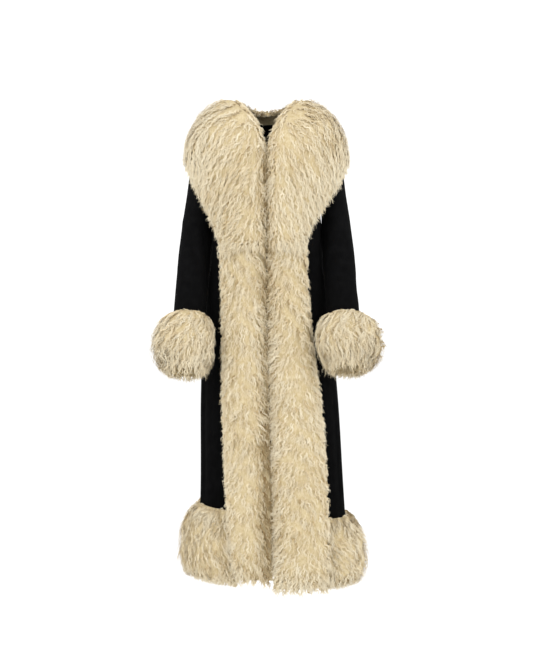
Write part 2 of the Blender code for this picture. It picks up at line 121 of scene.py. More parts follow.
Collar = namedtuple("Collar", "along neck knee edge rise spread")
COLLAR = (
    Collar(0.00, (0.000, 0.064, 0.006), (0.000, 0.132, -0.028), (0.000, 0.150, -0.250), 0.068, 0.050),
    Collar(0.12, (0.044, 0.052, 0.010), (0.100, 0.122, -0.018), (0.104, 0.140, -0.240), 0.068, 0.047),
    Collar(0.25, (0.070, 0.028, 0.024), (0.166, 0.088, 0.000), (0.180, 0.106, -0.200), 0.062, 0.034),
    Collar(0.37, (0.075, 0.000, 0.031), (0.204, 0.014, 0.009), (0.232, 0.014, -0.140), 0.057, 0.020),
    Collar(0.49, (0.061, -0.042, 0.014), (0.188, -0.060, -0.006), (0.232, -0.068, -0.150), 0.061, 0.028),
    Collar(0.60, (0.030, -0.084, -0.028), (0.154, -0.124, -0.044), (0.218, -0.092, -0.182), 0.068, 0.034),
    Collar(0.71, (0.0045, -0.1175, -0.104), (0.108, -0.148, -0.128), (0.196, -0.094, -0.228), 0.064, 0.042),
    Collar(0.81, (0.0022, -0.1290, -0.186), (0.098, -0.144, -0.200), (0.172, -0.088, -0.276), 0.060, 0.048),
    Collar(0.91, (0.0022, -0.1250, -0.282), (0.088, -0.133, -0.286), (0.144, -0.086, -0.326), 0.058, 0.052),
    Collar(1.0, (0.0022, -0.1185, -0.372), (0.080, -0.1255, -0.372), (0.128, -0.085, -0.372), 0.056, 0.052),
)

Band = namedtuple("Band", "z right_reach left_reach fur")
BANDS = (
    Band(-1.400, 0.106, 0.156, 0.070),
    Band(-1.180, 0.124, 0.150, 0.066),
    Band(-0.900, 0.131, 0.145, 0.060),
    Band(-0.650, 0.126, 0.124, 0.057),
    Band(-0.440, 0.125, 0.110, 0.055),
    Band(BAND_TOP, 0.127, 0.108, 0.055),
)

# Creases of the wool: turn and lean are in degrees round the body from the centre front, or in shares of
# the way round a sleeve, where top and bottom are rings. Depth is negative for a trough
Crease = namedtuple("Crease", "turn top bottom lean width depth")
CREASE_BEND, CREASE_WAVE = 0.18, 5.0  # how far a crease bends, as a share of its lean, and how fast
CREASE_SETS_IN, CREASE_FADES = 0.35, 0.4  # over these shares of its length
METRES_A_DEGREE, METRES_A_ROUND = 0.0033, 0.33
BODY_CREASES = (
    Crease(66, -0.78, -1.20, 3, 0.011, -0.0026),
    Crease(71, -0.55, -1.02, 2, 0.014, 0.0022),
    Crease(97, -0.25, -0.62, -3, 0.016, 0.0055),
    Crease(98, -0.25, -0.40, 0, 0.014, 0.0020),
    Crease(-68, -0.70, -1.20, -2, 0.010, -0.0030),
    Crease(-74, -0.62, -0.98, -3, 0.015, 0.0020),
    Crease(-97, -0.25, -0.65, 3, 0.016, 0.0055),
    Crease(-98, -0.25, -0.40, 0, 0.014, 0.0020),
    Crease(108, -0.62, -1.24, 4, 0.014, -0.0030),
    Crease(131, -0.86, -1.30, -3, 0.013, -0.0036),
    Crease(152, -0.52, -1.12, 2, 0.018, -0.0028),
    Crease(171, -0.74, -1.28, -4, 0.014, -0.0034),
    Crease(-169, -0.50, -0.98, 3, 0.016, 0.0024),
    Crease(-146, -0.66, -1.30, -2, 0.014, -0.0034),
    Crease(-122, -0.58, -1.10, 4, 0.015, -0.0028),
    Crease(-103, -0.80, -1.28, 2, 0.012, -0.0030),
    Crease(140, -0.34, -0.46, -26, 0.011, -0.0024),
    Crease(-138, -0.35, -0.48, 24, 0.011, -0.0024),
    Crease(160, -0.38, -0.44, -16, 0.009, -0.0018),
    Crease(-164, -0.39, -0.46, 18, 0.009, -0.0018),
)
SLEEVE_CREASES = (
    Crease(0.90, 7.6, 9.2, 0.16, 0.010, -0.0034),
    Crease(0.80, 8.5, 9.7, 0.20, 0.010, -0.0036),
    Crease(0.70, 9.3, 10.6, 0.17, 0.011, -0.0028),
    Crease(0.62, 7.0, 8.4, 0.15, 0.013, 0.0022),
    Crease(0.52, 9.8, 11.7, -0.10, 0.012, -0.0022),
    Crease(0.36, 5.6, 8.6, 0.06, 0.014, -0.0018),
    Crease(0.22, 8.2, 10.4, -0.12, 0.013, -0.0024),
    Crease(0.45, 4.4, 6.4, 0.10, 0.012, -0.0022),
    Crease(0.10, 5.8, 7.2, -0.12, 0.011, -0.0026),
)
SMOOTH_TO, SMOOTH_FADES = 44, 12  # degrees: the cloth nearer to the middle lies under a band
FRONT_SIDE_FADES, BACK_SIDE_FADES = 0.06, 8  # creases end at a side seam, in shares and in degrees
CREASED_FROM, CREASED_OVER = 3.5, 2.0  # rings
RIGHT_MOVED = 3  # columns, so that the right sleeve's creases differ
SEAM_WIDTH, SEAM_DIP, ARMHOLE_RINGS = 0.006, 0.0011, 0.5

# Points of the cloth's grids
YOKE_ROWS, FRONT_COLUMNS, BACK_COLUMNS, SLEEVE_ROWS, SLEEVE_COLUMNS = 26, 38, 74, 104, 52
SKIRT_HEIGHTS = np.linspace(HEM, ARMPIT_Z, 96)[:, None]
YOKE_LEVELS = np.linspace(0, 1, YOKE_ROWS + 1)[1:, None]

# Camera and light
CAMERA_PLACE, CAMERA_AIM = Vector((0.0, -5.0, -0.357)), Vector((0.0, 0.0, -0.645))
LENS, SENSOR = 90.0, 36.0
FLOOR_Z, FLOOR_SIZE, FLOOR_WHITE = -1.80, 40.0, (0.93, 0.93, 0.93, 1.0)
Lamp = namedtuple("Lamp", "name place size watts")
LAMPS = (
    Lamp("key", (-1.8, -3.2, 1.6), 1.8, 40.0),
    Lamp("fill", (2.4, -2.6, 0.4), 2.2, 22.0),
    Lamp("top", (0.3, -0.9, 2.2), 1.8, 4.0),
)
LAMP_AIM = Vector((0.0, 0.0, -0.6))
WHITE, ROOM_LIGHT = (1.0, 1.0, 1.0, 1.0), 1.15

SEED = 20
MIRRORED = np.array([-1.0, 1.0, 1.0])


def rise(value):
    """A smooth step from 0 to 1."""
    share = np.clip(value, 0.0, 1.0)
    return share * share * (3.0 - 2.0 * share)


def curve(knots, values, at):
    """A smooth curve through values at the knots, read at other places."""
    knots, values, at = (np.asarray(part, float) for part in (knots, values, at))
    slopes = np.gradient(values, knots, axis=0)
    low = np.clip(np.searchsorted(knots, at) - 1, 0, len(knots) - 2)
    step = knots[low + 1] - knots[low]
    share = (at - knots[low]) / step
    if values.ndim == 2:
        share, step = share[..., None], step[..., None]
    squared, cubed = share**2, share**3
    return (
        (2 * cubed - 3 * squared + 1) * values[low]
        + (cubed - 2 * squared + share) * step * slopes[low]
        + (3 * squared - 2 * cubed) * values[low + 1]
        + (cubed - squared) * step * slopes[low + 1]
    )


def unit(vectors):
    """The vectors at a length of 1."""
    return vectors / np.maximum(np.linalg.norm(vectors, axis=-1, keepdims=True), 1e-12)


def signed_power(value, exponent):
    """A power of the value's size that keeps its sign."""
    return np.sign(value) * np.abs(value) ** exponent


def stance(points):
    """Points of the skirt moved as the coat hangs."""
    x, y, z = np.moveaxis(points, -1, 0)
    lower = rise((SWAY_FROM - z) / (SWAY_FROM - SWAY_TO))
    ahead = rise(0.5 - y / STRIDE_DEPTH)
    left = rise(0.5 + x / (2 * STRIDE_WIDTH))
    return np.stack([x + SWAY * lower, y - STRIDE * lower * ahead * left, z], axis=-1)


def fold_height(turn, z):
    """How far the folds lift the cloth at this turn and height."""
    total = np.zeros(np.broadcast(turn, z).shape)
    for fold in FOLDS:
        apart = (turn - radians(fold.turn) + pi) % (2 * pi) - pi
        fade = rise((fold.top - z) / (fold.top - HEM))
        total = total + fold.depth * fade * np.exp(-((apart / radians(fold.spread)) ** 2))
    return total


def body_sizes(z):
    """Half the body's width and its depths in front and behind at this height."""
    rows = np.array(BODY)
    return np.moveaxis(curve(rows[:, 0], rows[:, 1:], z), -1, 0)


def skirt(turn, z):
    """The cloth's outer face below the armholes. turn is 0 at the centre front, pi at the centre back and
    negative on the right."""
    turn, z = np.broadcast_arrays(np.asarray(turn, float), np.asarray(z, float))
    half_width, front, back = body_sizes(z)
    ahead = signed_power(np.cos(turn), ROUNDNESS)
    depth = np.where(ahead > 0, front, back)
    x = half_width * signed_power(np.sin(turn), ROUNDNESS)
    y = -depth * ahead
    away = unit(np.stack([x / half_width**2, y / depth**2], axis=-1)) * fold_height(turn, z)[..., None]
    return stance(np.stack([x + away[..., 0], y + away[..., 1], z], axis=-1))


def turn_at(x, z):
    """The turn at which the front or the back of the body is this far from the middle."""
    half_width = body_sizes(z)[0]
    return np.arcsin(np.clip(np.abs(x) / half_width, 0, 1) ** (1 / ROUNDNESS))


def yoke_width(level):
    """How far up the armhole this level lies, as a share, and its distance from the middle there."""
    share = (1 - np.cos(pi * level)) / 2
    return share, ARMPIT_X + (SHOULDER_X - ARMPIT_X) * share


def yoke(turn, level, is_front):
    """The cloth's outer face from the armpit, at level 0, to the shoulder seam, at level 1, on the
    left. turn is 0 in the middle and pi/2 at the armhole."""
    share, arm_x = yoke_width(level)
    arm_y = ARMHOLE_HALF_DEPTH * np.sin(pi * level)
    chest = body_sizes(ARMPIT_Z)[1 if is_front else 2]
    depth = chest * (1 - share**SHOULDER_ROUND) ** (1 / SHOULDER_ROUND)
    x = arm_x * np.abs(np.sin(turn)) ** ROUNDNESS
    y = arm_y + (depth - arm_y) * np.abs(np.cos(turn)) ** ROUNDNESS
    top = SHOULDER_Z + SHOULDER_SLOPE * (arm_x - x)
    if not is_front:
        nape = np.clip(1 - (x / NECK_HALF_WIDTH) ** 2, 0, 1)
        y = y + NECK_DEPTH * np.sqrt(nape) * share**NECK_CURVE
        neck_top = SHOULDER_Z + SHOULDER_SLOPE * (arm_x - NECK_HALF_WIDTH)
        top = np.where(x < NECK_HALF_WIDTH, neck_top - NECK_DROP * nape, top)
    z = ARMPIT_Z + (top - ARMPIT_Z) * share
    return np.stack([x, -y if is_front else y, z], axis=-1)


def outward(grid, wraps=False):
    """The direction off each point of a grid whose columns and rows turn right-handed about it."""
    ring = np.concatenate([grid[:, -1:], grid, grid[:, :1]], axis=1) if wraps else grid
    away = np.cross(np.gradient(ring, axis=1), np.gradient(ring, axis=0))
    return unit(away[:, 1:-1] if wraps else away)


def sleeve(along, round_it):
    """The outer face of the left sleeve. along counts rings from the armhole, and round_it goes once round
    from the inner side, by the back."""
    along, round_it = np.broadcast_arrays(np.asarray(along, float), np.asarray(round_it, float))
    rings = np.array(SLEEVE)
    index = np.arange(len(rings))
    inner = np.stack([rings[:, 0], rings[:, 4], rings[:, 1]], axis=-1)
    outer = np.stack([rings[:, 2], rings[:, 4], rings[:, 3]], axis=-1)
    middle, across = (inner + outer) / 2, (inner - outer) / 2
    axis = unit(np.gradient(middle, axis=0))
    forward = unit(np.cross(axis, unit(across))) * rings[:, 5:]
    columns = curve(index, np.hstack([middle, across, forward]), along)
    angle = 2 * pi * round_it[..., None]
    return columns[..., :3] + columns[..., 3:6] * np.cos(angle) + columns[..., 6:] * np.sin(angle)


def even_dome(share):
    """Height of a rounded section over its width, from 0 at an edge to 1 in the middle."""
    return (1 - np.abs(2 * share - 1) ** FUR_CORNER) ** (1 / FUR_CORNER)


def tufts(along, across):
    """The largest tufts of the fur, as a share of its thickness."""
    lean = LOCK_TWIST * np.sin(2 * pi * across)
    strength = np.cos(LOCK_DRIFT[0] * along - LOCK_DRIFT[1] * across)
    return 1 + LOCK_RELIEF * np.sin(2 * pi * along + lean) * strength


def hem_turn(along, z):
    """The turn at a share of the way from the right band round the back to the left one."""
    half_width = body_sizes(z)[0]
    right, left = (curve(np.array(BANDS)[:, 0], np.array(BANDS)[:, side], z) for side in (1, 2))
    start = -np.arcsin(((right + SEAM) / half_width) ** (1 / ROUNDNESS))
    end = -2 * pi + np.arcsin(((left + SEAM) / half_width) ** (1 / ROUNDNESS))
    return start + (end - start) * along


def hem_fur(along, across):
    """Skin side and thickness of the hem's fur, from the right band round the back to the left one."""
    level = HEM_FUR_TOP + (HEM_FUR_BOTTOM - HEM_FUR_TOP) * across
    tilt = HEM_TILT_TOP + (HEM_TILT_BOTTOM - HEM_TILT_TOP) * across
    z = level - tilt * np.sin(hem_turn(along, level))
    from_end = np.minimum(along, 1 - along)
    ends = HEM_FUR_END + (1 - HEM_FUR_END) * rise(from_end / HEM_END_LENGTH)
    fur = HEM_FUR * ends * even_dome(across**HEM_SAG) * tufts(HEM_LOCKS * along, across)
    return skirt(hem_turn(along, z), z), fur


def band_fur(along, across, is_left):
    """Skin side and thickness of a front band, from the collar down to the hem."""
    z = BAND_TOP + ((BAND_LEFT_BOTTOM if is_left else BAND_RIGHT_BOTTOM) - BAND_TOP) * along
    rows = np.array(BANDS)
    reach, fur = curve(rows[:, 0], rows[:, 2 if is_left else 1], z), curve(rows[:, 0], rows[:, 3], z)
    start, end = turn_at(FRONT_EDGE + PELT_GAP, z), turn_at(reach, z)
    turn = start + (end - start) * across
    tail = np.clip((along - TAIL_FROM) / (1 - TAIL_FROM), 0, 1)
    fur = fur * even_dome(across) * (1 - TAIL_THINNED * tail**2) * tufts(BAND_LOCKS * along, across)
    return skirt(turn if is_left else -turn, z), fur


def cuff_fur(along, across, depth, last_ring):
    """Skin side and thickness of a cuff on the left sleeve, all round and down past the wrist."""
    ring = CUFF_FUR_FROM + (last_ring - CUFF_FUR_FROM) * across
    to_hip = np.cos(2 * pi * (along - PRESSED_TURN))
    pressed = CUFF_PRESSED * rise((to_hip - PRESSED_FROM) / PRESSED_OVER)
    fur = depth * even_dome(across**CUFF_SAG) * (1 - pressed) * tufts(CUFF_LOCKS * along, across)
    return sleeve(ring, along), fur


def collar_fur(along, across):
    """Skin side and thickness of the collar, from the right lapel's end round the neck."""
    side = np.sign(along - 0.5)
    station = np.abs(2 * along - 1)
    knots, *columns = zip(*COLLAR)
    neck, knee, edge, height, spread = (curve(knots, column, station) for column in columns)
    share = across[..., None]
    base = (1 - share) ** 2 * neck + 2 * share * (1 - share) * knee + share**2 * edge
    drawn_in = LEFT_LAPEL * rise((station - LEFT_LAPEL_FROM) / (1 - LEFT_LAPEL_FROM)) * (side > 0)
    base[..., 1] -= LAPEL_FORWARD * drawn_in * base[..., 0] ** 2
    base[..., 0] *= (1 - drawn_in) * np.where(side == 0, 1, side)
    full = height + (spread - height) * across
    return base, full * even_dome(across) * tufts(COLLAR_LOCKS * along, across)


# Finishes

class Wire:
    """A socket in a finish. Arithmetic on it adds Math nodes."""

    def __init__(self, finish, socket):
        self.finish = finish
        self.socket = socket

    def _maths(self, operation, first, second):
        return self.finish.node("ShaderNodeMath", {"operation": operation}, {0: first, 1: second})

    def __add__(self, other):
        return self._maths("ADD", self, other)

    def __mul__(self, other):
        return self._maths("MULTIPLY", self, other)

    __radd__ = __add__
    __rmul__ = __mul__


class Finish:
    """A material and the way to add nodes to it."""

    def __init__(self, name):
        self.material = bpy.data.materials.new(name)
        self.material.use_nodes = True
        self.tree = self.material.node_tree
        self.shader = self.tree.nodes["Principled BSDF"]

    def put(self, node, values):
        """Sets or links a node's inputs."""
        for key, value in values.items():
            if isinstance(value, Wire):
                self.tree.links.new(value.socket, node.inputs[key])
            else:
                node.inputs[key].default_value = value

    def node(self, kind, settings, values, output=0):
        """Adds a node: its settings first, then its inputs."""
        made = self.tree.nodes.new(kind)
        for key, value in settings.items():
            if key == "stops":
                stops = made.color_ramp.elements
                for place, _ in value[2:]:
                    stops.new(place)
                for stop, (place, colour) in zip(stops, value):
                    stop.position = place
                    stop.color = colour
            else:
                setattr(made, key, value)
        self.put(made, values)
        return Wire(self, made.outputs[output])

    def noise(self, place, scale, detail=2.0, roughness=0.5):
        """A noise texture at a place."""
        values = {"Vector": place, "Scale": scale, "Detail": detail, "Roughness": roughness}
        return self.node("ShaderNodeTexNoise", {}, values)


def black(level):
    """A near-black that is a touch blue."""
    return (level, level, level * 1.06, 1.0)


# Near-blacks of the wool; the wool's height also moves its tone along them, which paints shade towards the
# hem
WOOL_BLACKS = [(0.03, black(0.0012)), (0.38, black(0.0042)), (0.62, black(0.0075))]
# Lock tones: the darkest stop is painted shade, reached by the locks in the parting; the rest differ from
# lock to lock
LOCK_TONES_AND_PARTING_SHADE = [
    (0.0, (0.300, 0.200, 0.075, 1.0)),
    (0.16, (0.660, 0.540, 0.330, 1.0)),
    (0.48, (0.740, 0.648, 0.462, 1.0)),
    (1.0, (0.840, 0.772, 0.600, 1.0)),
]
# Painted shade at the roots, where light is lost deep in the fur, fading to none towards the tips
FUR_ROOT_SHADE_TO_TIP = [(0.15, (0.740, 0.615, 0.400, 1.0)), (0.75, WHITE)]
# The short wool's colours are deeper than the locks': painted shade between the locks
SHORT_WOOL_SHADE_TONES = [(0.36, (0.500, 0.390, 0.210, 1.0)), (0.62, (0.660, 0.560, 0.365, 1.0))]


def wool_finish(name, nap_scale):
    """Matte black wool with a brushed nap, a slight mottle, stray fibres and painted shade towards the hem.
    """
    wool = Finish(name)
    place = wool.node("ShaderNodeTexCoord", {}, {}, output=3)
    brushed = wool.node("ShaderNodeMapping", {}, {"Vector": place, "Scale": (1.0, 1.0, 0.28)})
    nap = wool.noise(brushed, nap_scale, detail=3.0, roughness=0.6)
    mottle = wool.noise(place, 42.0, detail=4.0)
    fibres = wool.noise(brushed, nap_scale * 2.6, detail=2.0, roughness=0.7)
    # Painted shade: the height adds to the tone, so the wool is darker the lower it hangs, most at the hem
    height = wool.node("ShaderNodeSeparateXYZ", {}, {"Vector": place}, output=2)
    tone = mottle * 0.45 + nap * 0.35 + fibres * 0.20 + height * 0.30
    colour = wool.node("ShaderNodeValToRGB", {"stops": WOOL_BLACKS}, {"Fac": tone})
    pile = nap * 0.7 + fibres * 0.3
    bump = wool.node("ShaderNodeBump", {}, {"Strength": 0.55, "Distance": 0.0012, "Height": pile})
    wool.put(wool.shader, {
        "Base Color": colour, "Roughness": 0.80 + 0.16 * nap, "Normal": bump,
        "Specular IOR Level": 0.012, "Sheen Weight": 0.008, "Sheen Roughness": 0.5,
    })
    return wool.material


def fur_finish(name):
    """Cream lamb's wool with painted shade at the root, paler tips, and a little different in each lock."""
    fur = Finish(name)
    tone = fur.node("ShaderNodeAttribute", {"attribute_name": "tone"}, {}, output=2)
    along = fur.node("ShaderNodeAttribute", {"attribute_name": "along"}, {}, output=2)
    pale = fur.node("ShaderNodeValToRGB", {"stops": LOCK_TONES_AND_PARTING_SHADE}, {"Fac": tone})
    # root: the painted root shade, multiplied into the lock's tone
    root = fur.node("ShaderNodeValToRGB", {"stops": FUR_ROOT_SHADE_TO_TIP}, {"Fac": along})
    multiply = {"data_type": "RGBA", "blend_type": "MULTIPLY"}
    colour = fur.node("ShaderNodeMix", multiply, {0: 1.0, 6: pale, 7: root}, output=2)
    fur.put(fur.shader, {
        "Base Color": colour, "Roughness": 0.55, "Specular IOR Level": 0.30, "Sheen Weight": 0.15,
    })
    return fur.material


def under_finish(name):
    """The dense short wool under the locks, seen only between them, coloured deeper as painted shade there.
    """
    under = Finish(name)
    place = under.node("ShaderNodeTexCoord", {}, {}, output=3)
    hanging = under.node("ShaderNodeMapping", {}, {"Vector": place, "Scale": (1.0, 1.0, 0.30)})
    curls = under.noise(place, 95.0, detail=3.0) * 0.4 + 0.6 * under.noise(hanging, 340.0, roughness=0.7)
    colour = under.node("ShaderNodeValToRGB", {"stops": SHORT_WOOL_SHADE_TONES}, {"Fac": curls})
    bump = under.node("ShaderNodeBump", {}, {"Strength": 0.8, "Distance": 0.004, "Height": curls})
    under.put(under.shader, {
        "Base Color": colour, "Roughness": 0.85, "Normal": bump, "Specular IOR Level": 0.1,
    })
    return under.material


# Meshes

SHARP = radians(60)


def quads(rows, columns, wraps):
    """Faces of a grid, closed into a tube if it wraps."""
    last = columns if wraps else columns - 1
    row, column = np.meshgrid(np.arange(rows - 1), np.arange(last), indexing="ij")
    row, column = row.ravel(), column.ravel()
    after = (column + 1) % columns
    above, below = row * columns, (row + 1) * columns
    return np.stack([above + column, above + after, below + after, below + column], axis=1)


def mesh_object(name, points, faces, finish):
    """A smooth mesh of quads."""
    mesh = bpy.data.meshes.new(name)
    mesh.vertices.add(len(points))
    mesh.vertices.foreach_set("co", points.astype(np.float32).ravel())
    mesh.loops.add(faces.size)
    mesh.loops.foreach_set("vertex_index", faces.astype(np.int32).ravel())
    mesh.polygons.add(len(faces))
    mesh.polygons.foreach_set("loop_start", np.arange(0, faces.size, 4, dtype=np.int32))
    mesh.update(calc_edges=True)
    mesh.validate()
    mesh.shade_smooth()
    mesh.materials.append(finish)
    made = bpy.data.objects.new(name, mesh)
    bpy.context.scene.collection.objects.link(made)
    return made


def wall(name, outer, inner, finish, wraps=False):
    """A closed shell between an outer and an inner face with the same grid."""
    rows, columns = outer.shape[:2]
    under = rows * columns
    faces = quads(rows, columns, wraps)
    edges = {(int(face[side - 1]), int(face[side])) for face in faces for side in range(4)}
    rims = np.array([(b, a, a + under, b + under) for a, b in sorted(edges) if (b, a) not in edges])
    lining = faces[:, ::-1] + under
    points = np.concatenate([outer.reshape(-1, 3), inner.reshape(-1, 3)])
    made = mesh_object(name, points, np.concatenate([faces, rims, lining]), finish)
    made.data.set_sharp_from_angle(angle=SHARP)
    return made


def crease_height(creases, turn, level, metres_per_turn):
    """How far soft creases lift or sink the cloth. A crease fades towards its ends."""
    total = np.zeros(np.broadcast(turn, level).shape)
    for crease in creases:
        share = (level - crease.top) / (crease.bottom - crease.top)
        bend = crease.lean * CREASE_BEND * np.sin(CREASE_WAVE * share)
        middle = crease.turn + crease.lean * (share - 0.5) + bend
        apart = (turn - middle) * metres_per_turn
        ends = rise(share / CREASE_SETS_IN) * rise((1 - share) / CREASE_FADES)
        total = total + crease.depth * ends * np.exp(-((apart / crease.width) ** 2))
    return total


def cloth_wall(node, outer, lift, finish, wraps=False, seams=()):
    """A panel or sleeve of cloth, moved out by its lift, and at its seams not forwards or backwards."""
    away = outward(outer, wraps)
    for place in seams:
        away[place + (1,)] = 0.0
    away = unit(away)
    face = outer + away * lift[..., None]
    return wall(node + "_cloth", face, face - away * CLOTH, finish, wraps)


def seam_dip(grid, both_sides):
    """How far the cloth sinks beside the sewn last column of its grid, and beside the first one too."""
    steps = np.linalg.norm(np.diff(grid, axis=1), axis=-1)
    run = np.concatenate([np.zeros((len(grid), 1)), np.cumsum(steps, axis=1)], axis=1)
    from_seam = run[:, -1:] - run
    if both_sides:
        from_seam = np.minimum(from_seam, run)
    return -SEAM_DIP * np.exp(-(from_seam / SEAM_WIDTH) ** 2)


def make_front(node, finish):
    """A front of cloth, from the middle to the side seam and from the hem to the shoulder seam."""
    is_left = node.endswith("left")
    across = np.linspace(0, 1, FRONT_COLUMNS)[None, :]
    start = turn_at(FRONT_EDGE, SKIRT_HEIGHTS)
    turn = start + (pi / 2 - start) * across
    turn = turn if is_left else -turn
    lower = skirt(turn, SKIRT_HEIGHTS)
    share, arm_x = yoke_width(YOKE_LEVELS)
    parted = np.clip((share - BREAK_SHARE) / (1 - BREAK_SHARE), 0, 1)
    edge = FRONT_EDGE + (NECK_HALF_WIDTH - FRONT_EDGE) * parted
    start = np.arcsin((edge / arm_x) ** (1 / ROUNDNESS))
    upper = yoke(start + (pi / 2 - start) * across, YOKE_LEVELS, is_front=True)
    upper[..., 0] *= 1 if is_left else -1
    outer = np.concatenate([lower, upper])
    outer[:, -1, 1] -= SEAM / 2
    outer[-1, :, 1] -= SEAM / 2
    degrees = np.degrees(turn)
    creases = crease_height(BODY_CREASES, degrees, SKIRT_HEIGHTS, METRES_A_DEGREE)
    creases = creases * rise((np.abs(degrees) - SMOOTH_TO) / SMOOTH_FADES)
    lift = np.concatenate([creases, np.zeros((YOKE_ROWS, FRONT_COLUMNS))])
    lift = lift * rise((1 - across) / FRONT_SIDE_FADES) + seam_dip(outer, False)
    if not is_left:
        outer, lift = outer[:, ::-1], lift[:, ::-1]
    side = -1 if is_left else 0
    return cloth_wall(node, outer, lift, finish, seams=[(slice(None), side), (-1, slice(None))])


def make_back(node, finish):
    """The back of cloth, from side seam to side seam."""
    turn = np.linspace(pi / 2, 3 * pi / 2, BACK_COLUMNS)[None, :]
    lower = skirt(turn, SKIRT_HEIGHTS)
    from_middle = np.linspace(pi / 2, -pi / 2, BACK_COLUMNS)[None, :]
    upper = yoke(np.abs(from_middle), YOKE_LEVELS, is_front=False)
    upper[..., 0] *= np.sign(from_middle)
    outer = np.concatenate([lower, upper])
    outer[:, [0, -1], 1] += SEAM / 2
    outer[-1, :, 1] += SEAM / 2
    degrees = np.degrees(turn)
    wrapped = np.where(degrees > 180, degrees - 360, degrees)
    creases = crease_height(BODY_CREASES, wrapped, SKIRT_HEIGHTS, METRES_A_DEGREE)
    creases = creases * rise((90 - np.abs(degrees - 180)) / BACK_SIDE_FADES)
    lift = np.concatenate([creases, np.zeros((YOKE_ROWS, BACK_COLUMNS))])
    lift = lift + seam_dip(outer, True)
    return cloth_wall(node, outer, lift, finish, seams=[(slice(None), [0, -1]), (-1, slice(None))])


def make_sleeve(node, finish):
    """A sleeve of cloth, from the armhole to the wrist."""
    along = np.linspace(0, SLEEVE_END, SLEEVE_ROWS)[:, None]
    round_it = np.linspace(0, 1, SLEEVE_COLUMNS, endpoint=False)[None, :]
    outer = sleeve(along, round_it)
    creases = sum(
        crease_height(SLEEVE_CREASES, round_it + whole, along, METRES_A_ROUND) for whole in (-1, 0, 1)
    )
    lift = creases * rise((along - CREASED_FROM) / CREASED_OVER)
    lift = lift - SEAM_DIP * np.exp(-((along / ARMHOLE_RINGS) ** 2))
    if node.endswith("right"):
        outer = outer[:, ::-1] * MIRRORED
        lift = np.roll(lift[:, ::-1], RIGHT_MOVED, axis=1)
    return cloth_wall(node, outer, lift, finish, wraps=True)


# Fur

# How each fur piece is grown: locks to a square metre, their run, how far they may hang past its edges and
# ends, and further where the fur faces back or forward; more locks at ends and edges; how ruffled it is
Growth = namedtuple(
    "Growth",
    "density run past_first past_last past_ends back_first front_last end_locks edge_locks ruffled",
    defaults=(0.0, 0.0, 0.0, 0, 0, 1.0),
)
COLLAR_GROWTH = Growth(3900, 0.042, 0.018, 0.010, past_ends=0.060, back_first=0.045, end_locks=70)
LEFT_BAND_GROWTH = Growth(4000, 0.040, 0.007, 0.010, past_ends=0.016)
RIGHT_BAND_GROWTH = LEFT_BAND_GROWTH._replace(past_first=0.010, past_last=0.007)
HEM_GROWTH = Growth(3600, 0.042, 0.008, 0.004, past_ends=0.016, end_locks=10, edge_locks=260, ruffled=1.2)
CUFF_GROWTH = Growth(4500, 0.034, 0.010, 0.010, front_last=0.026, edge_locks=90, ruffled=1.4)
SEAM_SHARE, EDGE_SHARE = 0.011, 0.015  # shares of a piece's length and width that the extra locks take up
LAST_EDGE_EVERY = 4  # one edge lock in so many stands by the last edge

# Each lock stands a fixed share further across than the one before, and strays a little
EVEN_STEP, EVEN_START = 0.7548776662, 0.31
STRAY_ALONG, STRAY_ACROSS = 0.25, 0.4
EDGE_CLEAR, END_CLEAR = 0.002, 0.001

# The two layers of hair: share of the growth's locks, sizes in metres, heights as shares of the fur's depth
Layer = namedtuple("Layer", "share strands stations width radius low high wave")
LONG = Layer(1.0, 4, 11, 0.0019, 0.0034, 0.85, 1.04, 1.0)
SHORT = Layer(0.93, 3, 8, 0.0030, 0.0050, 0.72, 0.90, 0.9)

# Slow wanders over the fur: how strong, how fast and where they start
Wander = namedtuple("Wander", "strength pace start")
WIDE_SWIRL, NARROW_SWIRL = Wander(0.36, 21.0, SEED + 0.7), Wander(0.30, 58.0, SEED + 2.9)
CURL_WANDER, TONE_WANDER = Wander(5.0, 30.0, SEED + 1.1), Wander(0.14, 16.0, SEED + 4.2)
WIDE_LUMPS, NARROW_LUMPS = Wander(0.05, 95.0, SEED), Wander(0.04, 210.0, SEED + 1.7)
TUFT_WANDER, LEAN_WANDER = Wander(1.0, 300.0, 2.0), Wander(0.25, 14.0, 5.0)

# How locks differ: from lock to lock, then from strand to strand within one
LOCK_SWIRL, LOCK_RUN, LOCK_TURNS, LOCK_TONE = 0.16, (0.70, 1.20), (0.8, 1.2), 0.15
LOOSE_LEAST, LOOSE_MORE, LOOSE_SELDOM = 0.35, 1.05, 2.5  # how loosely a lock hangs past an edge
STRAND_RUN, STRAND_TURNS, STRAND_TONE, STRAND_START = (0.78, 1.12), (0.96, 1.04), 0.12, 0.3
STRAND_WAVE, STRAND_WIDTH, STRAND_TWIST, STRAND_NEAREST = (0.6, 1.4), (0.75, 1.2), 0.55, 0.05
TONE_LIMITS = (0.03, 0.97)
STRAY_UP, STRAY_SIDE, STRAY_MOST = 0.0026, 0.0040, 3  # how far tips stray, and how many times that at most

# A strand: metres, and shares of its length, of its height or of a lock's width
WAVE_LENGTH, WAVE_SIDE, WAVE_UP = 0.0148, 0.0028, 0.0020
WAVES_FROM, WAVES_OVER = 0.25, 0.4
DRAWN_IN, FLATTENED = 0.55, 0.7  # a lock narrows to its tip, and lies flatter than it is wide
HANG, DROOP = 0.5, 0.005
OUT_AT, SHOWN_FROM = 0.70, 0.30  # where hair leaves the short wool, in height and in length
KEPT_HEIGHT = 0.45  # share that hair keeps where the fur thins out ahead of it
SUNK, LEAST_HEIGHT = 0.003, 0.001
TURNED_LEAST, TURNED_MORE, TIP_NARROWED = 0.4, 0.6, 0.92
TONE_SIDE, BAKE_EDGE = 0.012, 0.02

# The short wool's least share of the fur's depth, how far below its surface at most, and a drop below that
UNDER_SHARE, UNDER_BELOW, WOOL_DROP = 0.50, 0.0125, 0.002
# The parting down the front: its width, how much it thins the fur, and how much painted shade it puts on
# the locks' tone
PARTING_WIDTH, PARTING_THINNED, PARTING_PAINTED_SHADE = 0.018, 0.65, 0.60

